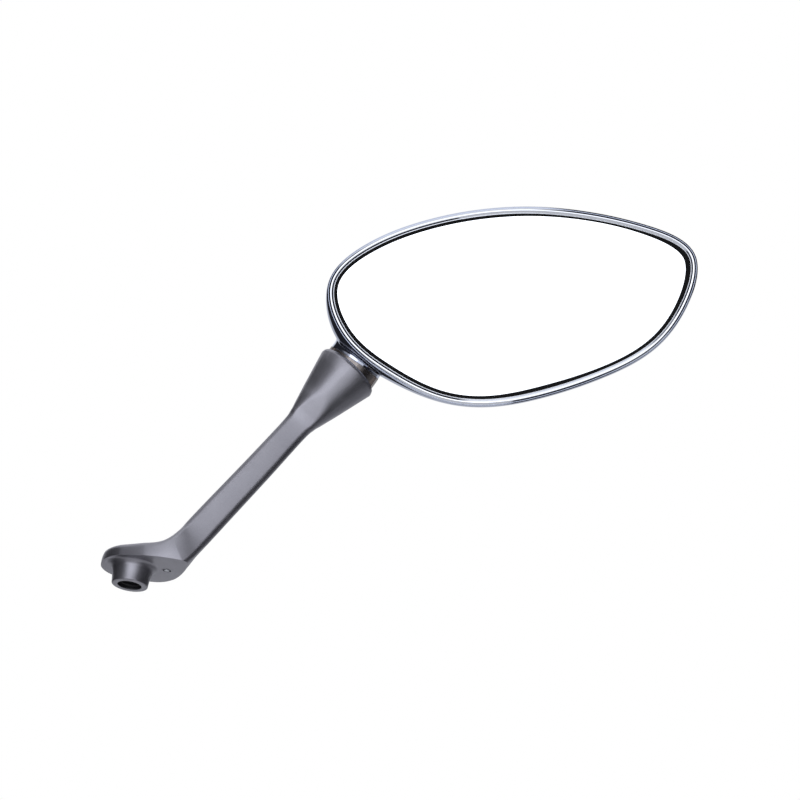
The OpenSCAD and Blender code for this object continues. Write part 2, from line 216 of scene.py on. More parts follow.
def sharpen(piece: bpy.types.Object, crease: float = CREASE) -> None:
    """Merges a cut piece's doubles and marks its sharp edges again.

    Args:
        piece: The piece, in metres.
        crease: Angle in degrees past which an edge stays sharp.
    """
    bm = bmesh.new()
    bm.from_mesh(piece.data)
    bmesh.ops.remove_doubles(bm, verts=bm.verts, dist=CUT_WELD * MM)
    mark_edges(bm, crease)
    bm.to_mesh(piece.data)
    bm.free()


# Materials

def linear(code: str) -> tuple[float, float, float, float]:
    """Turns an sRGB hex colour into linear RGBA."""
    channels = [int(code[i:i + 2], 16) / 255 for i in (1, 3, 5)]
    return (*[c / 12.92 if c <= 0.04045 else ((c + 0.055) / 1.055) ** 2.4 for c in channels], 1.0)


# A finish's noise stays near a half: its low and high ends for the colour and for the roughness
COLOUR_ENDS = (0.32, 0.68)
ROUGH_ENDS = (0.3, 0.7)


def add(tree: bpy.types.NodeTree, kind: str, inputs: dict[str | int, object] | None = None,
        **settings: object) -> bpy.types.Node:
    """Adds a node, sets its properties and its inputs, and links the inputs that are sockets.

    Args:
        tree: The node tree to add to.
        kind: The node's type.
        inputs: A value or a socket for each input, by its name or its number.
        **settings: The node's properties.

    Returns:
        The node.
    """
    node = tree.nodes.new(kind)
    for name, value in settings.items():
        setattr(node, name, value)
    for name, value in (inputs or {}).items():
        if isinstance(value, bpy.types.NodeSocket):
            tree.links.new(value, node.inputs[name])
        else:
            node.inputs[name].default_value = value
    return node


@dataclass(frozen=True)
class Finish:
    """A surface finish: what the material is, and how its variation looks.

    Grain sizes are real millimetres. The light and the dark colour are mixed by the
    grain, the roughness wanders by its spread, and the relief is in millimetres.
    """

    name: str
    light: str
    dark: str
    metallic: float
    roughness: float
    spread: float
    grain: float
    relief: float
    patch: float = 12.0
    patch_share: float = 0.3
    ior: float = 1.5
    specular: float = 0.5

    def build(self) -> bpy.types.Material:
        """Makes the material's node tree.

        Returns:
            The material.
        """
        material = bpy.data.materials.new(self.name)
        material.use_nodes = True
        tree = material.node_tree
        shader = tree.nodes["Principled BSDF"]
        place = add(tree, "ShaderNodeTexCoord").outputs["Object"]
        fine = add(tree, "ShaderNodeTexNoise", {"Vector": place, "Scale": 1 / (self.grain * MM),
                                               "Detail": 2.0, "Roughness": 0.6})
        broad = add(tree, "ShaderNodeTexNoise", {"Vector": place, "Scale": 1 / (self.patch * MM),
                                                "Detail": 3.0, "Roughness": 0.5})
        mixed = add(tree, "ShaderNodeMix", {"Factor": self.patch_share, "A": fine.outputs["Fac"],
                                            "B": broad.outputs["Fac"]}, data_type="FLOAT")
        level = mixed.outputs["Result"]
        ramp = add(tree, "ShaderNodeValToRGB", {"Fac": level})
        for stop, end, colour in zip(ramp.color_ramp.elements, COLOUR_ENDS, (self.dark, self.light)):
            stop.position, stop.color = end, linear(colour)
        rough = add(tree, "ShaderNodeMapRange", {"Value": level, "From Min": ROUGH_ENDS[0],
                                                 "From Max": ROUGH_ENDS[1],
                                                 "To Min": self.roughness - self.spread,
                                                 "To Max": self.roughness + self.spread})
        tree.links.new(ramp.outputs["Color"], shader.inputs["Base Color"])
        tree.links.new(rough.outputs["Result"], shader.inputs["Roughness"])
        if self.relief:
            bump = add(tree, "ShaderNodeBump", {"Height": fine.outputs["Fac"], "Strength": 1.0,
                                                "Distance": self.relief * MM})
            tree.links.new(bump.outputs["Normal"], shader.inputs["Normal"])
        shader.inputs["Metallic"].default_value = self.metallic
        if self.metallic < 1.0:
            shader.inputs["IOR"].default_value = self.ior
            shader.inputs["Specular IOR Level"].default_value = self.specular
        return material


# Satin metallic lacquer over cast aluminium: fine flake, soft sheen, slight cast grain
CAST_LACQUER = Finish(
    "satin_metallic_lacquer", light="#A4A3AA", dark="#8C8B92", metallic=0.9, roughness=0.40,
    spread=0.05, grain=0.22, relief=0.012, patch=9.0, patch_share=0.35)
# Thread in the boss, painted near black as the shade deep in the bore: dull and without reflections
PAINTED_SHADE_THREAD = Finish(
    "thread_painted_shade", light="#26262A", dark="#1A1A1D", metallic=0.2, roughness=0.5,
    spread=0.08, grain=0.4, relief=0.01, ior=1.47)
# Bright chrome plate on the cast shell: a mirror with a cool tint and a faint polishing haze
CHROME_SHELL = Finish(
    "chrome_plate", light="#C8CEDD", dark="#C0C6D6", metallic=1.0, roughness=0.05,
    spread=0.015, grain=2.5, relief=0.0, patch=20.0)
# Bright chrome on the pressed rim: the clearest mirror of the object's metals
CHROME_RIM = Finish(
    "bright_chrome", light="#DCDFE4", dark="#D5D8DE", metallic=1.0, roughness=0.03,
    spread=0.01, grain=2.0, relief=0.0, patch=18.0)
# Silvered glass: a clean mirror with a trace of dust haze
SILVERED_GLASS = Finish(
    "silvered_glass", light="#F6F8F9", dark="#F2F5F6", metallic=1.0, roughness=0.012,
    spread=0.008, grain=3.0, relief=0.0, patch=25.0)
# Extruded rubber gasket: deep black, softly matt
GASKET_RUBBER = Finish(
    "gasket_rubber", light="#08080A", dark="#040405", metallic=0.0, roughness=0.65,
    spread=0.08, grain=0.3, relief=0.02, ior=1.52, specular=0.15)
# Turned bare steel: warm grey with tool marks
BARE_STEEL = Finish(
    "bare_steel", light="#9A9390", dark="#7C7673", metallic=1.0, roughness=0.30,
    spread=0.08, grain=0.35, relief=0.01, patch=3.0)
# Zinc-plated steel of the pin, screws, springs and washers: paler and cooler than bare steel
PLATED_STEEL = Finish(
    "zinc_plated_steel", light="#C9CBD0", dark="#A9ABB1", metallic=1.0, roughness=0.32,
    spread=0.07, grain=0.4, relief=0.01, patch=3.0)
# Moulded nylon: milky, slightly waxy
MOULDED_NYLON = Finish(
    "moulded_nylon", light="#E4DFCF", dark="#D8D2C0", metallic=0.0, roughness=0.42,
    spread=0.06, grain=0.5, relief=0.01, ior=1.53)
# Moulded ABS of the backplate: black with a fine spark-eroded texture
MOULDED_ABS = Finish(
    "moulded_abs", light="#222225", dark="#18181A", metallic=0.0, roughness=0.5,
    spread=0.07, grain=0.35, relief=0.02, ior=1.54)
# Closed-cell foam pad: charcoal with open-looking cells half a millimetre wide
CELL_FOAM = Finish(
    "closed_cell_foam", light="#3A3A3D", dark="#1E1E20", metallic=0.0, roughness=0.9,
    spread=0.05, grain=0.5, relief=0.12, ior=1.45)
# Pale floor of the studio: matt, with faint broad patches
PALE_FLOOR = Finish(
    "pale_floor", light="#F4F4F5", dark="#EFEFF1", metallic=0.0, roughness=0.8,
    spread=0.05, grain=30.0, relief=0.0, patch=400.0)


# Where the joint and the face stand, as in the part's source

@dataclass(frozen=True)
class Stance:
    """The joint's angles and the head's place, as photographed.

    Places and lengths are in millimetres, angles in degrees.
    """

    foot_x: float = 15.0
    arm_y: float = -8.5
    arm_lean: float = 57.4
    arm_len: float = 112.8
    boss_h: float = 8.5
    tilt_in: float = 14.0
    tilt_side: float = -4.0
    swivel: float = 15.0
    face_turn: float = 41.4
    face_x: float = 40.0
    face_z: float = 58.2

    @property
    def along(self) -> Vector:
        """Direction of the bar, in X and Z."""
        return Vector((math.cos(math.radians(self.arm_lean)), math.sin(math.radians(self.arm_lean))))

    def on_bar(self) -> Matrix:
        """Places what is drawn about the ball's centre, along the bar."""
        end = Vector((self.foot_x, self.boss_h)) + self.arm_len * self.along
        return Matrix.Translation((end[0], self.arm_y, end[1])) @ turned(90 - self.arm_lean, "Y")

    def on_head(self) -> Matrix:
        """Places what is drawn about the ball's centre, along the head's neck."""
        tilted = self.on_bar() @ turned(self.tilt_in, "X") @ turned(self.tilt_side, "Y")
        return tilted @ turned(self.swivel, "Z")

    def on_face(self) -> Matrix:
        """Places what is drawn in the face's own axes."""
        centre = self.on_head() @ Matrix.Translation((self.face_x, 0, self.face_z))
        return centre @ turned(-self.face_turn, "Y")


STANCE = Stance()
ON_HEAD = STANCE.on_head()
ON_FACE = STANCE.on_face()


@dataclass(frozen=True)
class Face:
    """The head's teardrop outline and the crown of its glass."""

    front: float = -16.5
    # Radius of the glass's crown
    curve: float = 1400.0
    # Where the bowl is deepest, as X and Z of the face
    apex: tuple[float, float] = (-14.0, -3.0)
    steps: int = 15
    # Points that pull the outline's smooth curve, as X and Z of the face
    pull: tuple[tuple[float, float], ...] = (
        (56.5, -25.5), (72.5, -9), (83.5, 17), (57.5, 29.5), (36.5, 36.5), (13, 41.5),
        (-11, 42.5), (-34.5, 40), (-57, 34), (-78.5, 20.5), (-75.5, -8), (-57.5, -22.5),
        (-36.5, -36), (-14, -41), (10.5, -38.5), (33, -33.5))
    # The rim and the glass keep away from the neck, so their outline is flatter there
    rim_shift: tuple[tuple[int, float, float], ...] = ((9, -0.7, 0.3), (10, 2.5, 1.6), (11, 0.9, 1.1))

    def corners(self, rim: float) -> list[Vector]:
        """The points that pull the outline.

        Args:
            rim: 0 for the shell's outline, 1 for the rim's.

        Returns:
            The points, as X and Z of the face.
        """
        pulled = [Vector(point) for point in self.pull]
        for index, x, z in self.rim_shift:
            pulled[index] += rim * Vector((x, z))
        return pulled

    def outline(self, inset: float, rim: float = 0.0, wave: Sequence[float] = ()) -> list[Vector]:
        """The outline as a cubic B-spline, moved inwards by a distance.

        Args:
            inset: How far in.
            rim: 0 for the shell's outline, 1 for the rim's.
            wave: What to add to the inset, one value for each pulling point.

        Returns:
            The outline's points, as X and Z of the face.
        """
        pulled = self.corners(rim)
        count = len(pulled)
        points = []
        for i in range(count):
            corners = [pulled[(i + k) % count] for k in range(4)]
            extra = [wave[(i + k) % count] for k in range(4)] if wave else [0.0] * 4
            for k in range(self.steps):
                t = k / self.steps
                weights = ((1 - t) ** 3, 3 * t ** 3 - 6 * t ** 2 + 4,
                           -3 * t ** 3 + 3 * t ** 2 + 3 * t + 1, t ** 3)
                slopes = (-(1 - t) ** 2, 3 * t ** 2 - 4 * t, -3 * t ** 2 + 2 * t + 1, t ** 2)
                point = sum((w * c for w, c in zip(weights, corners)), Vector((0, 0))) / 6
                way = sum((s * c for s, c in zip(slopes, corners)), Vector((0, 0))).normalized()
                more = sum(w * e for w, e in zip(weights, extra)) / 6
                points.append(point + (inset + more) * Vector((-way[1], way[0])))
        return points

    def sag(self, point: Vector) -> float:
        """How far the crowned face lies behind its centre at a point."""
        return point.length_squared / (2 * self.curve)

    def ring(self, inset: float, y: float, shrink: float = 1.0, crown: float = 1.0, rim: float = 0.0,
             wave: Sequence[float] = ()) -> Ring:
        """The outline at an inset, shrunk towards the bowl's apex.

        Args:
            inset: How far in.
            y: Depth at the face's centre.
            shrink: Size towards the apex, 1 for full size.
            crown: How much of the glass's crown the section follows.
            rim: 0 for the shell's outline, 1 for the rim's.
            wave: What to add to the inset, one value for each pulling point.

        Returns:
            The section's points, in the face's axes.
        """
        centre = Vector(self.apex)
        made = []
        for point in self.outline(inset, rim, wave):
            spot = point * shrink + centre * (1 - shrink)
            made.append(Vector((spot[0], y + crown * self.sag(point), spot[1])))
        return made

    def plate(self, inset: float, share: float, y: float) -> Ring:
        """The rim's outline shrunk towards the face's centre, on the crowned face.

        Args:
            inset: How far in, before it is shrunk.
            share: Size towards the centre, 1 for full size.
            y: Depth at the centre.

        Returns:
            The section's points, in the face's axes.
        """
        spots = [point * share for point in self.outline(inset, rim=1)]
        return [Vector((p[0], y + self.sag(p), p[1])) for p in spots]


FACE = Face()


# Sub-assemblies

class Section(NamedTuple):
    """A section through the casting: a box with curved corners, turned by its twist.

    Its upper and its lower edge lie at a place in X and Z, its front and its back at a Y. The
    corners are quarter ellipses, as wide and as deep as given for the front and for the back.
    """

    top_x: float
    top_z: float
    low_x: float
    low_z: float
    front: float
    back: float
    twist: float
    front_wide: float
    front_deep: float
    back_wide: float
    back_deep: float


@dataclass
class ArmCasting:
    """One casting: lug with threaded boss, bend, bar, and the cup for the ball joint.

    An arc is a start and an end in degrees, and its number of steps.
    """

    crease: float = 38.0

    # The lug: a flat plate with half round ends and a rounded upper edge
    lug_end: float = 13.64
    lug_t: float = 4.8
    lug_rise: float = 0.8
    lug_rise_len: float = 9.0
    lug_middle: float = 4.5
    lug_skew: float = 0.14
    lug_front: float = 15.55
    lug_back: float = 13.6
    edge: float = 2.4
    low_edge: float = 0.25
    # The skin starts this far below the lug's underside, and is cut flat there
    below: float = 3.0
    # Turns in degrees at which the lug's round end has a section
    end_turns: tuple[int, ...] = (88, 84, 79, 73, 66, 59, 52, 45, 38, 31, 25)

    # The bar
    bar_hw_low: float = 6.3
    bar_hw_top: float = 5.7
    bar_hd: float = 5.4
    bar_twist: float = 15.0
    bar_back: float = 0.96
    in_cut: float = 0.4

    # The cup. Its cone grows rounder at these heights, up to a full circle's share at the corners
    cup_r: float = 13.85
    cup_r_low: float = 6.4
    cup_len: float = 29.0
    cone_rounds: tuple[tuple[float, float], ...] = ((12, 0.93), (17, 0.96), (22, 0.97))
    cup_round: float = 0.97
    mouth_z: float = -1.2
    mouth_in: float = 1.4
    mouth_wide: float = 0.95
    mouth_deep: float = 2.0
    mouth_arc: tuple[int, int, int] = (8, 90, 9)
    hollow_r: float = 12.4
    # Heights at which the hollow has a section, a ball's inside down to its floor
    hollow_z: tuple[float, ...] = (-1.3, -2.2, -3.4, -4.6, -6, -7.5, -9, -9.9)
    floor_top: float = -10.2
    floor_z: float = -14.0
    floor_r: float = 7.4
    floor_edge: float = 0.1
    floor_bore: float = 2.0

    # The boss. It is wider than its foot by the first value of a pair at the second's height
    boss_r_low: float = 7.5
    boss_r_top: float = 8.2
    boss_edge: float = 0.5
    boss_swell: tuple[tuple[float, float], ...] = (
        (0.03, 1.0), (0.1, 2.0), (0.22, 3.0), (0.38, 4.0), (0.55, 4.9))
    boss_fillet: float = 3.0
    boss_up: float = 1.6

    # The thread
    bore_r: float = 5.0
    crest_r: float = 4.375
    pitch: float = 1.25
    flank: float = 0.44
    thread_depth: float = 12.0
    thread_start: float = 1.7
    thread_steps: int = 64
    thread_crease: float = 30.0
    # How far a drill starts outside the metal
    drill_start: float = 1.0
    lining: float = 0.05
    lining_start: float = 0.4

    # The pin's recess
    pin_x: float = 14.0
    recess_r: float = 1.8
    recess_t: float = 0.5

    corner_steps: int = 8
    row_steps: int = 6
    first_steps: int = 3
    skin_weld: float = 0.01
    cut_weld: float = 0.0005
    # Sections at the bend from lug to bar that are evened out, and how often
    soft_rows: tuple[int, int] = (11, 50)
    soft_passes: int = 16

    def lug_row(self, x: float) -> Section:
        """A section of the lug, with its rounded top edge.

        Args:
            x: Where the section stands.

        Returns:
            The section.
        """
        half = math.sqrt(1 - (x / self.lug_end) ** 2)
        middle = self.lug_middle - self.lug_skew * (x + self.lug_end)
        front, back = middle - self.lug_front * half, middle + self.lug_back * half
        reach = max(0.0, self.edge - (x + self.lug_end))
        top = STANCE.boss_h + self.lug_t + self.lug_rise * (1 + x / self.lug_rise_len)
        top += math.sqrt(self.edge ** 2 - reach ** 2) - self.edge
        deep = min(self.edge, (back - front) / 3)
        return Section(x, top, x, STANCE.boss_h - self.below, front, back, 0,
                       self.edge, deep, self.edge, deep)

    def bar_row(self, up: float, inner: float, outer: float, deep: float, front_wide: float,
                front_deep: float, back_wide: float, back_deep: float = 0.0) -> Section:
        """A section square to the bar.

        Args:
            up: How far up the bar from its foot.
            inner: Half width towards the bend's inside.
            outer: Half width towards the bend's outside.
            deep: Half depth.
            front_wide: Width of the front corners.
            front_deep: Depth of the front corners.
            back_wide: Width of the back corners.
            back_deep: Depth of the back corners, or 0 for the bar's usual share of its depth.

        Returns:
            The section.
        """
        way = STANCE.along
        centre = Vector((STANCE.foot_x, STANCE.boss_h)) + up * way
        side = Vector((-way[1], way[0]))
        return Section(*(centre + side * inner), *(centre - side * outer), STANCE.arm_y - deep,
                       STANCE.arm_y + deep, self.bar_twist, front_wide, front_deep, back_wide,
                       back_deep or deep * self.bar_back)

    def round_row(self, z: float, r: float) -> Section:
        """A round section of the cup.

        Args:
            z: Height from the ball's centre, along the bar.
            r: Radius.

        Returns:
            The section.
        """
        bend = r * self.cup_round
        return self.bar_row(STANCE.arm_len + z, r, r, r, bend, bend, bend, bend)

    def ring(self, row: Section) -> Ring:
        """The points of one section.

        Args:
            row: The section.

        Returns:
            Its points, in the row frame.
        """
        top, low = Vector((row.top_x, row.top_z)), Vector((row.low_x, row.low_z))
        half = (top - low).length / 2
        middle, way = (top + low) / 2, (top - low).normalized()
        fw, fd, bw, bd = row[7:11]
        n = self.corner_steps
        flat = (arc(half - bw, row.back - bd, bw, bd, 0, 90, n)
                + arc(-half + bw, row.back - bd, bw, bd, 90, 180, n)
                + arc(-half + fw, row.front + fd, fw, fd, 180, 270, n)
                + arc(half - fw, row.front + fd, fw, fd, 270, 360, n))
        c, s = math.cos(math.radians(row.twist)), math.sin(math.radians(row.twist))
        made = []
        for across, y in flat:
            depth = y - STANCE.arm_y
            out = across * c + depth * s
            made.append(Vector((middle[0] + out * way[0], STANCE.arm_y + depth * c - across * s,
                                middle[1] + out * way[1])))
        return made

    def cone(self, foot: float) -> list[Section]:
        """Sections of the cup's cone above its start.

        Args:
            foot: How far up the bar the cone starts.

        Returns:
            The sections, from the lowest up.
        """
        made = []
        for up, share in self.cone_rounds:
            r = self.cup_r_low + up * (self.cup_r - self.cup_r_low) / self.cup_len
            made.append(self.bar_row(foot + up, r, r, r, r * share, r * share, r * share, r * share))
        return made

    def cup_rows(self) -> list[Section]:
        """Sections from the cup's rounded mouth down its hollow to the floor.

        Returns:
            The sections, in order.
        """
        points = arc(self.cup_r - self.mouth_in, self.mouth_z - self.mouth_deep, self.mouth_wide,
                     self.mouth_deep, *self.mouth_arc)
        points += [(math.sqrt(self.hollow_r ** 2 - z * z), z) for z in self.hollow_z]
        points += [(self.floor_r, self.floor_top), (self.floor_r, self.floor_z + self.floor_edge),
                   (self.floor_r - self.floor_edge, self.floor_z), (self.floor_bore, self.floor_z)]
        return [self.round_row(z, r) for r, z in points]

    def rows(self) -> list[Section]:
        """All sections, from the lug's round end to the cup's floor.

        Returns:
            The sections, in order.
        """
        foot = STANCE.arm_len + self.mouth_z - self.cup_len
        top, e = STANCE.boss_h + self.lug_t, self.edge
        wide, slim, cut, deep = self.bar_hw_low, self.bar_hw_top, self.in_cut, self.bar_hd
        keys = [
            self.lug_row(-5), self.lug_row(0),
            # The bend
            Section(4.8, top + 1.3, 5.6, 4.4, -14.55, 16.1, 0, e, e, 2.2, 2.4),
            Section(8.5, 15.1, 10.6, 3.2, -15.25, 15.7, 1, e, 2.6, 2.4, 4),
            Section(12, 16.3, 16.4, 3.6, -15.45, 12.2, 3, 2.3, 2.6, 3, 7),
            Section(14.9, 18.8, 20.8, 6.2, -15.15, 4.8, 6, 2.1, 2.6, 4, 9),
            Section(17, 21.7, 23.9, 10.1, -14.7, 0, 10, 2, 2.6, 4.8, 7),
            Section(18.4, 23.9, 25.8, 13.4, -14.3, -2.2, 13, 2, 2.6, 5.4, 6),
            # The bar
            self.bar_row(17, wide - cut, wide + 0.3, deep, 2.8, 3.0, 5.8),
            self.bar_row(30, wide - cut - 0.1, wide + 0.15, deep, 2.8, 3.0, 5.8),
            self.bar_row(55, slim - cut / 2, wide - 0.05, deep, 2.7, 3.0, 5.6),
            self.bar_row(foot - 6, slim - 0.15, slim + 0.15, deep, 2.7, 3.0, 5.4),
            # The start of the cone
            self.bar_row(foot, 6.3, 6.3, 5.9, 2.4, 3.2, 5.9),
            self.bar_row(foot + 4, 7.35, 7.35, 7, 4, 4.8, 7),
            self.bar_row(foot + 8, 8.42, 8.42, 8.3, 6.2, 6.8, 8),
            *self.cone(foot),
        ]
        end = [self.lug_row(-self.lug_end * math.sin(math.radians(a))) for a in self.end_turns]
        return end + self.smooth(keys) + self.cup_rows()

    def smooth(self, keys: Sequence[Section]) -> list[Section]:
        """Puts more sections between the given ones, on a smooth curve through them.

        Args:
            keys: The given sections.

        Returns:
            All sections, evened out at the bend.
        """
        last = len(keys) - 1
        made = []
        for i in range(last):
            four = (keys[max(i - 1, 0)], keys[i], keys[i + 1], keys[min(i + 2, last)])
            steps = self.row_steps if i else self.first_steps
            for k in range(steps):
                t = k / steps
                made.append(Section(*[
                    b + 0.5 * t * (c - a + t * (2 * a - 5 * b + 4 * c - d + t * (3 * (b - c) + d - a)))
                    for a, b, c, d in zip(*four)]))
        made.append(keys[-1])
        low, high = self.soft_rows
        for _ in range(self.soft_passes):
            made[low:high] = [Section(*[(a + 2 * b + c) / 4 for a, b, c in zip(*made[i - 1:i + 2])])
                              for i in range(low, high)]
        return made

    def skin(self) -> bpy.types.Object:
        """The casting's outer skin, cut flat under the lug, with a small edge radius there.

        Returns:
            The closed skin.
        """
        bm = bmesh.new()
        loft(bm, [self.ring(row) for row in self.rows()])
        bmesh.ops.remove_doubles(bm, verts=bm.verts, dist=self.skin_weld)
        cut = bmesh.ops.bisect_plane(bm, geom=bm.verts[:] + bm.edges[:] + bm.faces[:],
                                     plane_co=(0, 0, STANCE.boss_h), plane_no=(0, 0, -1),
                                     clear_outer=True, dist=self.cut_weld)
        edges = [e for e in cut["geom_cut"] if isinstance(e, bmesh.types.BMEdge)]
        flat = bmesh.ops.contextual_create(bm, geom=edges)["faces"]
        bmesh.ops.recalc_face_normals(bm, faces=bm.faces)
        bmesh.ops.bevel(bm, geom=list(flat[0].edges), offset=self.low_edge, segments=3, profile=0.5,
                        affect="EDGES", material=-1, clamp_overlap=True)
        return finish_mesh(bm, "arm_casting", self.crease)

    def boss(self) -> bpy.types.Object:
        """The round boss under the lug, filleted into it.

        Returns:
            The closed boss, which reaches into the lug.
        """
        h, fillet, low, e = STANCE.boss_h, self.boss_fillet, self.boss_r_low, self.boss_edge
        outer = self.boss_r_top + fillet
        profile = [(0, 0)] + arc(low - e, e, e, e, -90, 0, 5)
        profile += [(low + out, z) for out, z in self.boss_swell]
        profile += arc(outer, h - fillet, fillet, fillet, 180, 90, 12)
        profile += [(outer, h + self.boss_up), (0, h + self.boss_up)]
        bm = bmesh.new()
        turned_body(bm, profile, FINE_TURN)
        return finish_mesh(bm, "boss", self.crease)

    def drill(self, x: float, r: float, low: float, high: float) -> bpy.types.Object:
        """A round cutter along Z.

        Args:
            x: Where its axis stands.
            r: Radius.
            low: Where it starts.
            high: Where it ends.

        Returns:
            The cutter.
        """
        bm = bmesh.new()
        bmesh.ops.create_cone(bm, cap_ends=True, segments=PLAIN_TURN, radius1=r, radius2=r,
                              depth=high - low)
        bmesh.ops.translate(bm, vec=(x, 0, (low + high) / 2), verts=bm.verts)
        return finish_mesh(bm, "drill", self.crease)

    def thread(self) -> bpy.types.Object:
        """The bore's lining, painted dark as the shade inside the bore, with the thread's ridge swept
        round and up it.

        Returns:
            The lining and the ridge, as one piece.
        """
        bm = bmesh.new()
        wall, start, top = self.lining, self.lining_start, self.thread_depth
        inner, outer = self.bore_r - wall, self.bore_r + wall
        turned_body(bm, [(0, top - wall), (inner, top - wall), (inner, start), (outer, start),
                         (outer, top + wall), (0, top + wall)], PLAIN_TURN)
        turns = (top - 2 * self.thread_start) / self.pitch
        foot, crest = self.pitch * self.flank, self.pitch / 8
        corners = [(self.bore_r, -foot), (self.crest_r, -crest), (self.crest_r, crest),
                   (self.bore_r, foot)]
        face = bm.faces.new([bm.verts.new((r, 0, self.thread_start + z)) for r, z in corners])
        bmesh.ops.spin(bm, geom=[face], cent=(0, 0, 0), axis=(0, 0, 1), angle=math.tau * turns,
                       steps=round(self.thread_steps * turns), dvec=(0, 0, self.pitch / self.thread_steps))
        return finish_mesh(bm, "boss_thread", self.thread_crease)

    def build(self) -> list[bpy.types.Object]:
        """Makes the whole casting and puts it in place of the CAD's.

        Returns:
            The casting and its thread.
        """
        casting, under = self.skin(), STANCE.boss_h
        combine(casting, self.boss(), Join.UNION)
        bore = self.drill(0, self.bore_r, -2 * self.drill_start, self.thread_depth)
        combine(casting, bore, Join.DIFFERENCE)
        recess = self.drill(self.pin_x, self.recess_r, under - self.drill_start, under + self.recess_t)
        combine(casting, recess, Join.DIFFERENCE)
        sharpen(casting, self.crease)
        casting.data.materials.append(CAST_LACQUER.build())
        thread = self.thread()
        # The thread and lining get a material painted near black as the shade inside the bore
        thread.data.materials.append(PAINTED_SHADE_THREAD.build())
        for piece in (casting, thread):
            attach(piece, Body.ARM.value)
        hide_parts("arm")
        return [casting, thread]


class Surface:
    """A closed piece's outside, asked in millimetres."""

    def __init__(self, piece: bpy.types.Object) -> None:
        """Reads the piece's faces."""
        self.tree = BVHTree.FromObject(piece, bpy.context.evaluated_depsgraph_get())

    def nearest(self, point: Vector) -> tuple[Vector, Vector]:
        """The nearest point of the surface, and its outward direction there."""
        near, normal, _, _ = self.tree.find_nearest(point * MM)
        return near / MM, normal

    def outside(self, point: Vector) -> bool:
        """Tells whether a point lies outside the surface."""
        near, normal, _, _ = self.tree.find_nearest(point * MM)
        return (point * MM - near).dot(normal) > 0


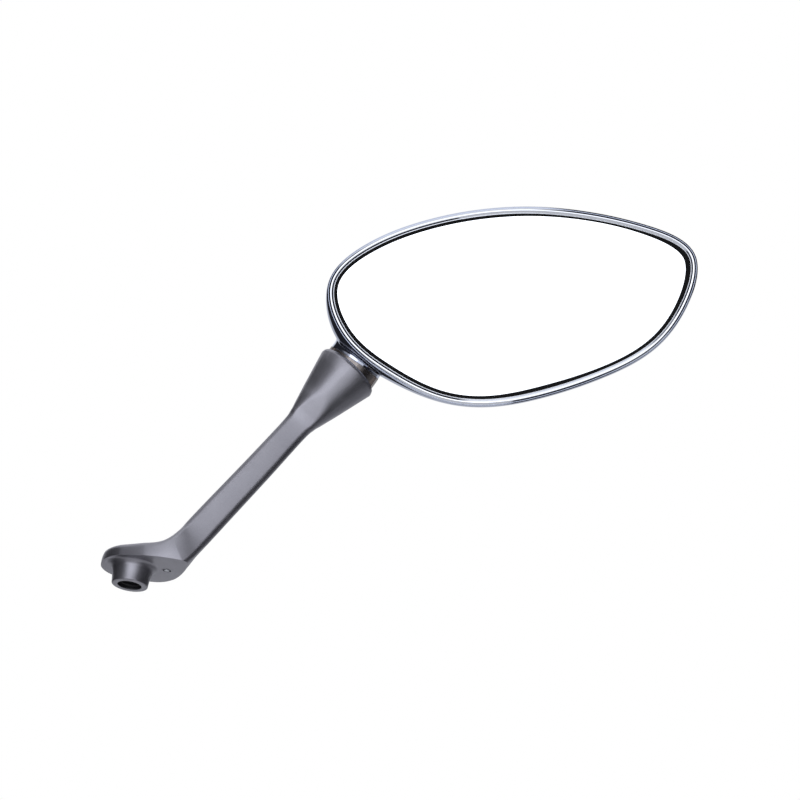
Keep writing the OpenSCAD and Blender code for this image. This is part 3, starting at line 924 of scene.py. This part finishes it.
@dataclass
class Neck:
    """The head's chrome neck: a fairing that flows into the shell, round a bored core."""

    # Radius and height of the fairing, from the ring to its tip inside the shell, and its wall
    profile: tuple[tuple[float, float], ...] = (
        (11.6, 3.0), (11.73, 3.12), (11.7, 4.2), (11.65, 5.2), (11.72, 5.9), (11.9, 6.5),
        (12.1, 7), (12.46, 8), (12.79, 9), (13.04, 10), (13.23, 11), (13.39, 12),
        (13.67, 14), (13.88, 16), (13.97, 18), (14.0, 20), (13.83, 23.5), (13.4, 27),
        (12.65, 30.5), (11.6, 34), (10.3, 37), (8.6, 40), (6.8, 42.2), (4.6, 44),
        (2.2, 45.2), (0.0, 45.6))
    wall: float = 1.2
    ring_top: float = 3.0
    ring_r: float = 11.85
    # Up to this far above the ring, an open edge belongs to the neck's lower end
    ring_band: float = 0.2

    # The fillet takes at most a share of the fairing's side, and its foot sinks into the shell
    fillet: float = 4.0
    fillet_share: float = 0.8
    sink: float = 0.05
    steps: int = 144
    rows: int = 22
    fillet_rows: int = 9
    search_start: float = 0.1
    search_step: float = 0.5
    search_halves: int = 12
    search_top: float = 45.4

    # The round room for the arm's cup, and the bores for the ring's spigot and the springs
    room_r: float = 14.05
    room_low: float = -6.0
    room_top: float = 3.8
    room_gap: float = 0.2
    room_cover: float = 2.0
    spigot_r: float = 10.9
    spigot_top: float = 9.3
    stack_r: float = 9.75
    stack_top: float = 16.45
    core_wall: float = 0.35
    core_roof: float = 2.2
    core_foot: float = 0.15
    core_edge: float = 0.6

    def point(self, angle: float, z: float) -> Vector:
        """A point of the fairing.

        Args:
            angle: Turn round the neck's axis, in radians.
            z: Height from the ball's centre.

        Returns:
            The point, in the row frame.
        """
        for (r0, z0), (r1, z1) in zip(self.profile, self.profile[1:]):
            if z <= z1:
                break
        r = r0 + (r1 - r0) * (z - z0) / (z1 - z0)
        return ON_HEAD @ Vector((r * math.cos(angle), r * math.sin(angle), z))

    def meeting(self, shell: Surface, angle: float) -> float:
        """Height at which the fairing enters the shell.

        Args:
            shell: The shell's outside.
            angle: Turn round the neck's axis, in radians.

        Returns:
            The height from the ball's centre.
        """
        low = high = self.room_top + self.search_start
        while shell.outside(self.point(angle, high)) and high < self.search_top:
            low, high = high, high + self.search_step
        for _ in range(self.search_halves):
            half = (low + high) / 2
            low, high = (half, high) if shell.outside(self.point(angle, half)) else (low, half)
        return low

    def column(self, shell: Surface, angle: float) -> Ring:
        """The fairing's points at one turn, from the ring up, with a fillet onto the shell.

        Args:
            shell: The shell's outside.
            angle: Turn round the neck's axis, in radians.

        Returns:
            One point for each row.
        """
        meet = self.meeting(shell, angle)
        room = min(self.fillet, (meet - self.room_top) * self.fillet_share)
        start, hit = self.point(angle, meet - room), self.point(angle, meet)
        near, normal = shell.nearest(hit)
        away = hit - ON_HEAD @ Vector((0, 0, meet))
        away = (away - away.dot(normal) * normal).normalized()
        foot, normal = shell.nearest(near + away * room)
        foot -= normal * self.sink
        plain = self.rows - 1 - self.fillet_rows
        span = meet - room - self.ring_top
        points = [self.point(angle, self.ring_top + span * k / plain) for k in range(plain + 1)]
        for k in range(1, self.fillet_rows + 1):
            t = k / self.fillet_rows
            points.append((1 - t) ** 2 * start + 2 * t * (1 - t) * hit + t * t * foot)
        return points

    def fairing(self, shell: Surface) -> bpy.types.Object:
        """The neck's wall, whose upper edge flows into the shell.

        Args:
            shell: The shell's outside, before it is cut.

        Returns:
            The neck as a closed wall.
        """
        bm = bmesh.new()
        turned_body(bm, [(self.ring_r, z) for z in range(self.rows)], self.steps)
        columns: dict[int, list[bmesh.types.BMVert]] = {}
        for vert in bm.verts:
            share = math.atan2(vert.co[1], vert.co[0]) / math.tau
            columns.setdefault(round(share * self.steps) % self.steps, []).append(vert)
        for index, verts in columns.items():
            verts.sort(key=lambda vert: vert.co[2])
            for vert, point in zip(verts, self.column(shell, math.tau * index / self.steps)):
                vert.co = point
        self.thicken(bm)
        return finish_mesh(bm, "neck_wall")

    def thicken(self, bm: bmesh.types.BMesh) -> None:
        """Gives the neck's open skin a wall, by a copy set nearer to the neck's axis.

        Args:
            bm: The open skin, which becomes a closed wall.
        """
        back = ON_HEAD.inverted()
        made = bmesh.ops.duplicate(bm, geom=[*bm.verts, *bm.edges, *bm.faces])["geom"]
        for vert in (v for v in made if isinstance(v, bmesh.types.BMVert)):
            spot = back @ vert.co
            share = 1 - self.wall / math.hypot(spot[0], spot[1])
            vert.co = ON_HEAD @ Vector((spot[0] * share, spot[1] * share, spot[2]))
        bmesh.ops.reverse_faces(bm, faces=[f for f in made if isinstance(f, bmesh.types.BMFace)])
        low, high = [], []
        for edge in (e for e in bm.edges if e.is_boundary):
            at_ring = max((back @ v.co)[2] for v in edge.verts) < self.ring_top + self.ring_band
            (low if at_ring else high).append(edge)
        for ends in (low, high):
            bmesh.ops.bridge_loops(bm, edges=ends)
        bmesh.ops.recalc_face_normals(bm, faces=bm.faces)

    def turned_piece(self, name: str, profile: Sequence[tuple[float, float]],
                     steps: int) -> bpy.types.Object:
        """A piece turned round the neck's axis.

        Args:
            name: The piece's name.
            profile: Radius and height of each point.
            steps: Number of steps in the turn.

        Returns:
            The piece, in place.
        """
        bm = bmesh.new()
        turned_body(bm, profile, steps)
        bmesh.ops.transform(bm, matrix=ON_HEAD, verts=bm.verts)
        return finish_mesh(bm, name)

    def room(self) -> bpy.types.Object:
        """The round space that the shell leaves for the arm's cup and the ball's bore.

        Returns:
            The cutter.
        """
        bore, top = self.spigot_r + self.room_gap, self.stack_top + self.room_cover
        return self.turned_piece("cup_room", [
            (0, self.room_low), (self.room_r, self.room_low), (self.room_r, self.room_top),
            (bore, self.room_top), (bore, top), (0, top)], FINE_TURN)

    def core(self) -> bpy.types.Object:
        """The neck's bored core, which the ring's spigot and the springs enter.

        Returns:
            The closed core.
        """
        top, outer = self.stack_top, self.spigot_r + self.core_wall
        return self.turned_piece("neck_core", [
            (0, top), (self.stack_r, top), (self.stack_r, self.spigot_top),
            (self.spigot_r, self.spigot_top), (self.spigot_r, self.ring_top),
            (self.ring_r - self.core_foot, self.ring_top), (outer, self.ring_top + self.core_edge),
            (outer, top + self.core_roof), (0, top + self.core_roof)], PLAIN_TURN)


@dataclass
class Head:
    """The chrome head: shell with its neck, rim, glass and gasket.

    Distances in are measured from the outline, and heights forward, in millimetres. An arc is
    a start and an end in degrees, and its number of steps.
    """

    front: float = FACE.front

    # How far in the shell, the rim, the gasket, the glass, its lip and the cavity start
    skin_in: float = 0.16
    bezel_in: float = 0.9
    seal_in: float = 2.7
    glass_in: float = 3.6
    lip_in: float = 4.75
    cavity_in: float = 5.6

    # The shell: a bowl, a short side that swells to the front, and a rounded front edge
    shell_back: float = 0.9
    bowl_depth: float = 23.0
    bowl_close: float = 0.85
    bowl_rise: float = 1.15
    bowl_turns: tuple[float, ...] = (89.2, 87.5, *range(85, 3, -3), 2)
    side_deep: float = 5.0
    side_swell: float = 0.15
    side_steps: int = 3
    edge_deep: float = 2.6
    edge_lap: float = 0.12
    edge_wall: float = 0.05
    edge_arc: tuple[int, int, int] = (180, 262, 8)
    # The outline turns into the rim's by these shares of the way to the front and of its square
    to_rim: tuple[float, float] = (0.6, 0.4)
    # The ledge under the rim, and the cavity behind it
    ledge_back: float = 3.1
    cavity_y: float = -9.0
    cavity_less: float = 4.2
    cavity_crown: float = 0.5
    cavity_turns: tuple[int, ...] = tuple(range(6, 89, 6))

    # The rim from its outer wall: half width and the two depths of its crest, then its groove
    # and its bead as distance in and height
    rim_back: float = 0.08
    crest_wide: float = 1.0
    crest_out: float = 1.4
    crest_in: float = 0.8
    crest_arcs: tuple[tuple[int, int, int], ...] = ((180, 270, 14), (270, 310, 7))
    groove: tuple[float, float] = (1.99, 0.4)
    bead: tuple[float, float] = (2.26, 0.54)
    bead_r: float = 0.2
    bead_arc: tuple[int, int, int] = (205, 380, 9)
    rim_gap: float = 0.03

    # The glass and its ground edge
    glass_t: float = 2.0
    glass_back: float = 1.0
    glass_edge: float = 0.25
    glass_crease: float = 25.0
    glass_shares: tuple[float, ...] = (0.01, *[k / 16 for k in range(1, 16)], 0.985)
    glass_back_shares: tuple[float, ...] = (0.75, 0.5, 0.25, 0.01)

    # The gasket: distance in and height above the glass of its lip and of its outer edge
    lip_edge: tuple[tuple[float, float], ...] = ((0, 0.03), (-0.1, 0.09), (-0.4, 0.17))
    seal_edge: tuple[tuple[float, float], ...] = ((0.35, 0.31), (0.1, 0.25), (0, 0.1))
    # How much further in the soft lip lies on the glass, at each pulling point of the outline
    lip_wave: tuple[float, ...] = (0.0, 0.0, 1.2, -0.6, -0.7, -0.4, -0.2, -0.2, -0.1, -0.1, 0.0, 0.0,
                                   -0.1, -0.1, 0.5, -0.3)
    # What a piece is lower or thinner by, so that two faces never share a plane
    apart: float = 0.02
    back_apart: float = 0.05

    @property
    def glass_y(self) -> float:
        """Depth of the glass's front at the face's centre."""
        return self.front + self.glass_back

    @property
    def ledge_y(self) -> float:
        """Depth of the ledge that the rim sits on."""
        return self.front + self.ledge_back

    def bowl_ring(self, inset: float, y: float, depth: float, turn: float, crown: float,
                  rim: float = 0.0) -> Ring:
        """A section of a bowl that closes towards its apex.

        Args:
            inset: How far in the bowl's edge lies.
            y: Depth of its edge.
            depth: How much deeper its apex lies.
            turn: Where the section is, from 0 at the edge to 90 degrees at the apex.
            crown: How much of the glass's crown the edge follows.
            rim: 0 for the shell's outline, 1 for the rim's.

        Returns:
            The section's points.
        """
        c, s = math.cos(math.radians(turn)), math.sin(math.radians(turn))
        return FACE.ring(inset, y + depth * s ** self.bowl_rise, c ** self.bowl_close, crown * c, rim=rim)

    def bowl_rings(self) -> list[Ring]:
        """Sections of the shell.

        Returns:
            The sections, from the outer apex round the front to the inner apex.
        """
        front, skin, swell = self.front + self.shell_back, self.skin_in, self.side_swell
        side_y, edge = front + self.side_deep, self.bezel_in + self.edge_lap
        outer = [self.bowl_ring(swell + skin, side_y, self.bowl_depth, a, 1.0) for a in self.bowl_turns]
        steps, inner_edge = self.side_steps, edge - self.edge_wall
        side = [(swell * (1 - math.sin(math.radians(90 * k / steps))) + skin,
                 side_y - (self.side_deep - self.edge_deep) * k / steps) for k in range(steps)]
        side += arc(inner_edge, front + self.edge_deep, inner_edge - skin, self.edge_deep, *self.edge_arc)
        for inset, y in side:
            t = (side_y - y) / self.side_deep
            outer.append(FACE.ring(inset, y, rim=t * (self.to_rim[0] + self.to_rim[1] * t)))
        room = self.bowl_depth - self.cavity_less
        inner = [FACE.ring(edge, front + self.edge_lap, rim=1), FACE.ring(edge, self.ledge_y, rim=1),
                 FACE.ring(self.cavity_in, self.ledge_y, rim=1),
                 FACE.ring(self.cavity_in, self.cavity_y, crown=self.cavity_crown, rim=1)]
        inner += [self.bowl_ring(self.cavity_in, self.cavity_y, room, a, self.cavity_crown, rim=1)
                  for a in self.cavity_turns]
        return outer + inner

    def lofted(self, name: str, rings: Sequence[Ring], closed: bool = False,
               crease: float = CREASE) -> bpy.types.Object:
        """A piece lofted through sections of the face.

        Args:
            name: The piece's name.
            rings: Its sections, in the face's axes.
            closed: True for a ring-shaped piece.
            crease: Angle in degrees past which an edge stays sharp.

        Returns:
            The piece, in place.
        """
        bm = bmesh.new()
        loft(bm, rings, closed)
        bmesh.ops.transform(bm, matrix=ON_FACE, verts=bm.verts)
        return finish_mesh(bm, name, crease)

    def housing(self) -> list[bpy.types.Object]:
        """The chrome shell, its neck and its core.

        Returns:
            The three pieces.
        """
        shell = self.lofted("housing_shell", self.bowl_rings())
        neck = Neck()
        pieces = [shell, neck.fairing(Surface(shell)), neck.core()]
        combine(shell, neck.room(), Join.DIFFERENCE)
        sharpen(shell)
        chrome = CHROME_SHELL.build()
        for piece in pieces:
            piece.data.materials.append(chrome)
            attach(piece, Body.HEAD.value)
        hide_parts("housing")
        return pieces

    def rim(self) -> bpy.types.Object:
        """The rounded chrome rim that holds the glass.

        Returns:
            The rim.
        """
        front, base, low = self.front + self.rim_back, self.bezel_in, self.ledge_y - self.apart
        wide, inner = self.crest_wide, self.seal_in - self.rim_gap
        crest, (out_arc, in_arc) = base + wide, self.crest_arcs
        section = [(base, low)] + arc(crest, front + self.crest_out, wide, self.crest_out, *out_arc)
        section += arc(crest, front + self.crest_in, wide, self.crest_in, *in_arc)[1:]
        section += [(base + self.groove[0], front + self.groove[1])]
        section += arc(base + self.bead[0], front + self.bead[1], self.bead_r, self.bead_r,
                       *self.bead_arc)
        section += [(inner, front + self.crest_in), (inner, low)]
        made = self.lofted("rim", [FACE.ring(inset, y, rim=1) for inset, y in section], closed=True)
        made.data.materials.append(CHROME_RIM.build())
        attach(made, Body.HEAD.value)
        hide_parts("bezel")
        return made

    def glass(self) -> bpy.types.Object:
        """The convex silvered glass, with a ground edge.

        Returns:
            The glass.
        """
        y, back, edge = self.glass_y, self.glass_y + self.glass_t, self.glass_edge
        rings = [FACE.plate(self.glass_in, share, y) for share in self.glass_shares]
        rings += [FACE.plate(self.glass_in + edge, 1, y), FACE.plate(self.glass_in, 1, y + edge),
                  FACE.plate(self.glass_in, 1, back)]
        rings += [FACE.plate(self.glass_in, share, back) for share in self.glass_back_shares]
        made = self.lofted("mirror_glass", rings, crease=self.glass_crease)
        made.data.materials.append(SILVERED_GLASS.build())
        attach(made, Body.HEAD.value)
        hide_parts("glass")
        return made

    def gasket(self) -> bpy.types.Object:
        """The rubber channel round the glass, with its lip on the glass.

        Returns:
            The gasket.
        """
        y, back = self.glass_y, self.glass_y + self.glass_t - self.back_apart
        lip = [(self.lip_in + inset, y - up) for inset, up in self.lip_edge]
        channel = [(self.seal_in + inset, y - up) for inset, up in self.seal_edge]
        channel += [(self.seal_in, back), (self.glass_in, back), (self.glass_in, y - self.apart)]
        rings = [FACE.ring(inset, depth, rim=1, wave=self.lip_wave) for inset, depth in lip]
        rings += [FACE.ring(inset, depth, rim=1) for inset, depth in channel]
        made = self.lofted("gasket", rings, closed=True)
        made.data.materials.append(GASKET_RUBBER.build())
        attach(made, Body.HEAD.value)
        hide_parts("glass_seal")
        return made


@dataclass
class InnerParts:
    """CAD parts that keep their shape and get their finish here."""

    def dress(self) -> None:
        """Gives each remaining CAD node its material."""
        steel, plated = BARE_STEEL.build(), PLATED_STEEL.build()
        finishes = {
            "ring_nut": steel, "ball_stud": steel, "locating_pin": plated, "pressure_cup": steel,
            "stud_washer": plated, "thrust_washer": plated, "ball_seat": MOULDED_NYLON.build(),
            "backplate": MOULDED_ABS.build(), "foam_pad": CELL_FOAM.build()}
        finishes |= {f"disc_spring_{k}": plated for k in (1, 2, 3)}
        finishes |= {f"backplate_screw_{k}": plated for k in (1, 2, 3, 4)}
        for name, material in finishes.items():
            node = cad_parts[name]
            node.data.materials.clear()
            node.data.materials.append(material)
            LOG.info("dressed %s with %s", name, material.name)


class Sum(Enum):
    """What a sum on the world's light does with its values."""

    PLUS = "ADD"
    LESS = "SUBTRACT"
    TIMES = "MULTIPLY"
    OVER = "DIVIDE"
    ROOT = "SQRT"
    ANGLE = "ARCCOSINE"
    MOST = "MAXIMUM"
    STEP = "SMOOTHSTEP"


def work_out(tree: bpy.types.NodeTree, item: object) -> Socket | float:
    """Adds the nodes of a sum, and of the sums inside it.

    Args:
        tree: The node tree to add to.
        item: A value or a socket, or a tuple that holds what is done and its items in order. A
            step holds a pair last: it gives 0 at the pair's first value and 1 at its second.

    Returns:
        The value itself, or the socket that gives the result.
    """
    if not isinstance(item, tuple):
        return item
    kind, first, *others = item
    result = work_out(tree, first)
    if kind is Sum.STEP:
        low, high = others[0]
        return add(tree, "ShaderNodeMapRange", {"Value": result, "From Min": low, "From Max": high},
                   interpolation_type=kind.value).outputs["Result"]
    for other in others or [0.0]:
        result = add(tree, "ShaderNodeMath", {0: result, 1: work_out(tree, other)},
                     operation=kind.value).outputs["Value"]
    return result


@dataclass(frozen=True)
class Surroundings:
    """What the chrome reflects: bright in front, light above and below, dark at the sides.

    Each direction has a turn away from the camera in degrees, a height, a level (-1 straight
    down, 1 straight up) and a side (-1 left, 1 right), as the picture shows them. A pair of
    numbers is a soft step, from nothing at its first value to all at its second.
    """

    right: Vector
    up: Vector
    back: Vector
    light: str = "#F0F2F8"
    dark: str = "#26262A"

    # The bright front, with more light at the upper left, and the light overhead
    front_turn: Pair = (36, 29)
    front_gain: float = 0.35
    front_rise: float = 0.5
    front_fall: float = 0.7
    over_level: Pair = (0.2, 0.7)
    over_turn: Pair = (75, 50)
    over_gain: float = 0.9

    # The dark wings left and right, and how far round they reach
    left_side: Pair = (-0.24, -0.36)
    left_level: Pair = (0.8, 0.66)
    right_side: Pair = (0.1, 0.2)
    wing_near: Pair = (33, 40)
    wing_far: Pair = (140, 126)

    # The wings end sooner from this level up, by more degrees on the right
    short_level: Pair = (-0.35, 0.0)
    short_side: Pair = (-0.1, 0.1)
    short_right: float = 70.0
    short_least: float = 10.0

    # The right wing fades low down
    fade_turn: Pair = (70, 95)
    fade_from: Pair = (-0.45, -0.6)
    fade_to: Pair = (-0.92, -0.8)
    fade_share: float = 0.35

    # The left wing's upper part
    high_level: Pair = (0.93, 0.84)
    high_near: Pair = (36, 46)
    high_far: Pair = (114, 100)
    high_share: float = 0.8

    # The dim floor behind the object, and the dim band round the bright front
    behind_turn: Pair = (112, 128)
    behind_height: Pair = (0.1, -0.15)
    behind_share: float = 0.35
    band_near: Pair = (33, 37)
    band_far: Pair = (50, 42)
    band_share: float = 0.6

    def darkness_and_power(self, tree: bpy.types.NodeTree) -> tuple[Socket, Socket]:
        """Works out how dark each direction is, and how strong its light.

        Args:
            tree: The world's node tree.

        Returns:
            The sockets of the darkness, from 0 to 1, and of the light's strength.
        """
        plus, less, times, most, step = Sum.PLUS, Sum.LESS, Sum.TIMES, Sum.MOST, Sum.STEP
        way = add(tree, "ShaderNodeTexCoord").outputs["Generated"]
        across, height, facing = [
            add(tree, "ShaderNodeVectorMath", {0: way, 1: tuple(axis)},
                operation="DOT_PRODUCT").outputs["Value"]
            for axis in (self.right, self.up, self.back)]
        turn = work_out(tree, (times, (Sum.ANGLE, facing), 180 / math.pi))
        squares = (plus, (times, across, across), (plus, (times, height, height), 1e-6))
        flat = work_out(tree, (Sum.ROOT, squares))
        level = work_out(tree, (Sum.OVER, height, flat))
        side = work_out(tree, (Sum.OVER, across, flat))

        fade = (times, (step, turn, self.fade_turn), (step, level, self.fade_from),
                (step, level, self.fade_to), self.fade_share)
        right = (times, (step, side, self.right_side), (less, 1.0, fade))
        left = (times, (step, side, self.left_side), (step, level, self.left_level))
        shorter = (plus, (times, (step, side, self.short_side), self.short_right), self.short_least)
        reach = (less, turn, (times, (step, level, self.short_level), shorter))
        wings = (times, (most, left, right), (step, turn, self.wing_near),
                 (step, reach, self.wing_far))
        high = (times, (step, side, self.left_side), (step, level, self.high_level),
                (step, turn, self.high_near), (step, turn, self.high_far), self.high_share)
        behind = (times, (step, turn, self.behind_turn), (step, height, self.behind_height),
                  self.behind_share)
        band = (times, (step, turn, self.band_near), (step, turn, self.band_far), self.band_share)

        slant = (less, (times, height, self.front_rise), (times, across, self.front_fall))
        front = (times, (step, turn, self.front_turn), (plus, slant, self.front_gain))
        over = (times, (step, level, self.over_level), (step, turn, self.over_turn), self.over_gain)
        return (work_out(tree, (most, wings, high, behind, band)),
                work_out(tree, (plus, 1.0, front, over)))

    def build(self) -> None:
        """Makes the world and its nodes. The camera itself sees plain white."""
        world = bpy.data.worlds.new("studio")
        bpy.context.scene.world = world
        world.use_nodes = True
        tree = world.node_tree
        tree.nodes.clear()
        dark, power = self.darkness_and_power(tree)
        shade = add(tree, "ShaderNodeMix", {0: dark, 6: linear(self.light), 7: linear(self.dark)},
                    data_type="RGBA").outputs[2]
        glow = add(tree, "ShaderNodeBackground", {"Color": shade, "Strength": power})
        plain = add(tree, "ShaderNodeBackground", {"Color": (1, 1, 1, 1), "Strength": 1.0})
        seen = add(tree, "ShaderNodeLightPath").outputs["Is Camera Ray"]
        both = add(tree, "ShaderNodeMixShader", {0: seen, 1: glow.outputs[0], 2: plain.outputs[0]})
        add(tree, "ShaderNodeOutputWorld", {"Surface": both.outputs[0]})


@dataclass
class Studio:
    """Pale floor, soft light and the camera at the photograph's angle."""

    # The camera's place in millimetres, and its axes as the fit gave them
    camera_at: tuple[float, float, float] = (250.836, -1862.198, -663.392)
    back: tuple[float, float, float] = (0.076, -0.922, -0.376)
    right: tuple[float, float, float] = (0.989, 0.0229, 0.146)
    # Focal length and picture width in pixels, then the sensor in millimetres
    focal: float = 4878.0
    image: float = 800.0
    sensor: float = 36.0
    far_end: float = 50.0
    # The floor, in millimetres
    floor_z: float = -2000.0
    floor_half: tuple[float, float] = (960.0, 3000.0)
    # The light from above shines straight down. Its place and size are in metres
    light_at: tuple[float, float, float] = (0.09, -0.01, 2.08)
    light_size: float = 4.0
    light_watts: float = 85.0

    def axes(self) -> tuple[Vector, Vector, Vector]:
        """The picture's right, up and towards-the-camera directions, square to each other."""
        back = Vector(self.back).normalized()
        right = Vector(self.right)
        right = (right - right.dot(back) * back).normalized()
        return right, back.cross(right), back

    def camera(self) -> None:
        """Sets the camera where the photograph was taken."""
        data = bpy.data.cameras.new("photo_camera")
        data.sensor_width = self.sensor
        data.lens = self.focal / self.image * self.sensor
        data.clip_end = self.far_end
        camera = bpy.data.objects.new("photo_camera", data)
        bpy.context.scene.collection.objects.link(camera)
        turn = Matrix(self.axes()).transposed().to_4x4()
        camera.matrix_world = Matrix.Translation(Vector(self.camera_at) * MM) @ turn
        bpy.context.scene.camera = camera

    def floor(self) -> None:
        """Lays a wide pale floor, well below the object."""
        bm = bmesh.new()
        bmesh.ops.create_grid(bm, x_segments=4, y_segments=4, size=1)
        bmesh.ops.scale(bm, vec=(*self.floor_half, 1), verts=bm.verts)
        bmesh.ops.translate(bm, vec=(0, 0, self.floor_z), verts=bm.verts)
        made = finish_mesh(bm, "studio_floor")
        made.data.materials.append(PALE_FLOOR.build())

    def light(self) -> None:
        """Hangs a soft box over the object, which shows in no reflection."""
        data = bpy.data.lights.new("floor_light", "AREA")
        data.shape, data.size, data.energy = "SQUARE", self.light_size, self.light_watts
        made = bpy.data.objects.new("floor_light", data)
        made.location = self.light_at
        bpy.context.scene.collection.objects.link(made)
        made.visible_glossy = made.visible_camera = False

    def build(self) -> None:
        """Makes the whole studio."""
        self.camera()
        self.floor()
        Surroundings(*self.axes()).build()
        self.light()
        bpy.context.scene.view_settings.view_transform = "Standard"


def main() -> None:
    """Builds the mirror and the studio, in order."""
    logging.basicConfig(level=logging.INFO, format="%(message)s")
    casting = ArmCasting().build()
    head = Head()
    for piece in (*casting, *head.housing(), head.rim(), head.glass(), head.gasket()):
        LOG.info("built %s, %d faces", piece.name, len(piece.data.polygons))
    InnerParts().dress()
    Studio().build()


if __name__ == "__main__":
    main()
